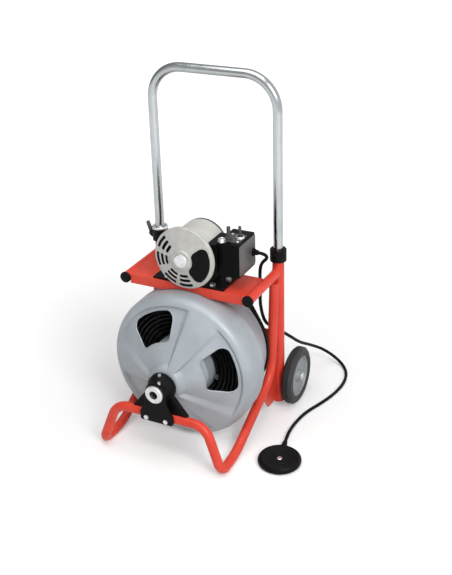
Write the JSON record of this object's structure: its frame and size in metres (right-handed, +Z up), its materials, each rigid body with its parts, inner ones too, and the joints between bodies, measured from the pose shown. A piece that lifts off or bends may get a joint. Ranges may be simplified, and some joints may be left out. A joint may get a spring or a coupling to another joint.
{
  "type": "drain cleaning machine",
  "caption": "Upright drum-type drain cleaning machine on a wheeled tube frame with a sliding U handle, belt-drive motor, switch box and air foot pedal.",
  "frame": {"origin": "on the floor, under the centre of the machine's box without the hose and pedal", "axes": "+Z up, -Y towards the nose where the cable leaves, +X to the right seen from the front"},
  "size_m": [0.575, 0.6557, 0.9577],
  "materials": {
    "frame_paint": "orange-red gloss paint",
    "handle_chrome": "polished plate",
    "drum_paint": "silver-grey paint",
    "bright_steel": "zinc-plated",
    "cable_steel": "oiled dark spring steel",
    "wound_cable": "dark, stands for the wound layers",
    "black_casting": "black paint",
    "black_paint": "black paint",
    "bell_alloy": "cast and painted pale grey",
    "shell_paint": "pale grey paint",
    "core_iron": "laminated",
    "pulley_alloy": "turned",
    "black_plastic": "satin black",
    "box_black": "black, semi-gloss",
    "black_rubber": "matte",
    "tyre_rubber": "matte",
    "hub_grey": "satin dark grey"
  },
  "bodies": {
    "frame": {"upright_right": "frame_paint", "upright_left": "frame_paint", "leg_tube_right": "frame_paint", "leg_tube_left": "frame_paint", "gusset_right": "frame_paint", "gusset_left": "frame_paint", "arm_right": "frame_paint", "arm_left": "frame_paint", "arm_caps": "black_plastic", "motor_tray": "frame_paint", "rear_cross_plate": "frame_paint", "rear_bearing_block": "black_casting", "axle_brackets": "frame_paint", "axle": "bright_steel", "axle_caps": "bright_steel", "collar_right": "black_plastic", "collar_left": "black_plastic", "front_bracket": "black_casting", "front_bearing": "bright_steel", "bearing_bolts": "bright_steel", "grease_screw": "bright_steel", "motor_base": "black_paint", "motor_bolts": "bright_steel", "motor_shell": "shell_paint", "front_bell": "bell_alloy", "bell_cover": "black_plastic", "rear_bell": "bell_alloy", "motor_bearings": "bright_steel", "stator": "core_iron", "drive_belt": "black_rubber", "box_saddle": "black_plastic", "switch_box": "box_black", "switch_plate": "bright_steel", "box_post": "bright_steel", "hose_gland": "black_plastic", "mains_gland": "black_plastic", "pedal_base": "black_plastic", "hose_relief": "black_plastic", "air_hose": "black_rubber"},
    "handle": {"handle": "handle_chrome"},
    "clamp_lever": {"clamp_lever": "bright_steel"},
    "drum": {"drum_front": "drum_paint", "drum_rear": "drum_paint", "inner_hub": "drum_paint", "drain_cable": "cable_steel", "cable_core": "wound_cable", "cable_anchors": "bright_steel", "nose_spindle": "bright_steel", "nose_ring": "bright_steel", "rear_spindle": "bright_steel"},
    "rotor": {"rotor": "core_iron", "motor_shaft": "bright_steel", "motor_pulley": "pulley_alloy"},
    "wheel_left": {"wheel_hub_left": "hub_grey", "tyre_left": "tyre_rubber"},
    "wheel_right": {"wheel_hub_right": "hub_grey", "tyre_right": "tyre_rubber"},
    "switch_lever": {"switch_lever": "bright_steel"},
    "pedal": {"pedal_dome": "black_rubber", "pedal_stud": "bright_steel"}
  },
  "joints": [
    {"name": "handle_slide", "type": "slide", "parent": "frame", "child": "handle", "axis": [0, 0, 1], "range_m": [-0.345, 0]},
    {"name": "clamp_pivot", "type": "hinge", "parent": "frame", "child": "clamp_lever", "pos_m": [-0.206, 0.127, 0.47], "axis": [0, 1, 0], "range_deg": [-90, 0]},
    {"name": "drum_spin", "type": "hinge", "parent": "frame", "child": "drum", "pos_m": [0, 0, 0.209], "axis": [0, 1, 0], "continuous": true},
    {"name": "motor_spin", "type": "hinge", "parent": "frame", "child": "rotor", "pos_m": [0.005, 0, 0.511], "axis": [0, 1, 0], "continuous": true},
    {"name": "wheel_left_spin", "type": "hinge", "parent": "frame", "child": "wheel_left", "pos_m": [-0.212, 0.171, 0.082], "axis": [1, 0, 0], "continuous": true},
    {"name": "wheel_right_spin", "type": "hinge", "parent": "frame", "child": "wheel_right", "pos_m": [0.212, 0.171, 0.082], "axis": [1, 0, 0], "continuous": true},
    {"name": "switch_tilt", "type": "hinge", "parent": "frame", "child": "switch_lever", "pos_m": [0.129, 0, 0.554], "axis": [0, 1, 0], "range_deg": [-15, 15]},
    {"name": "pedal_press", "type": "slide", "parent": "frame", "child": "pedal", "axis": [0, 0, 1], "range_m": [-0.006, 0], "stiffness_N_per_m": 3000}
  ],
  "couplings": [
    {"joint": "motor_spin", "follows": "drum_spin", "ratio": 8.5}
  ]
}
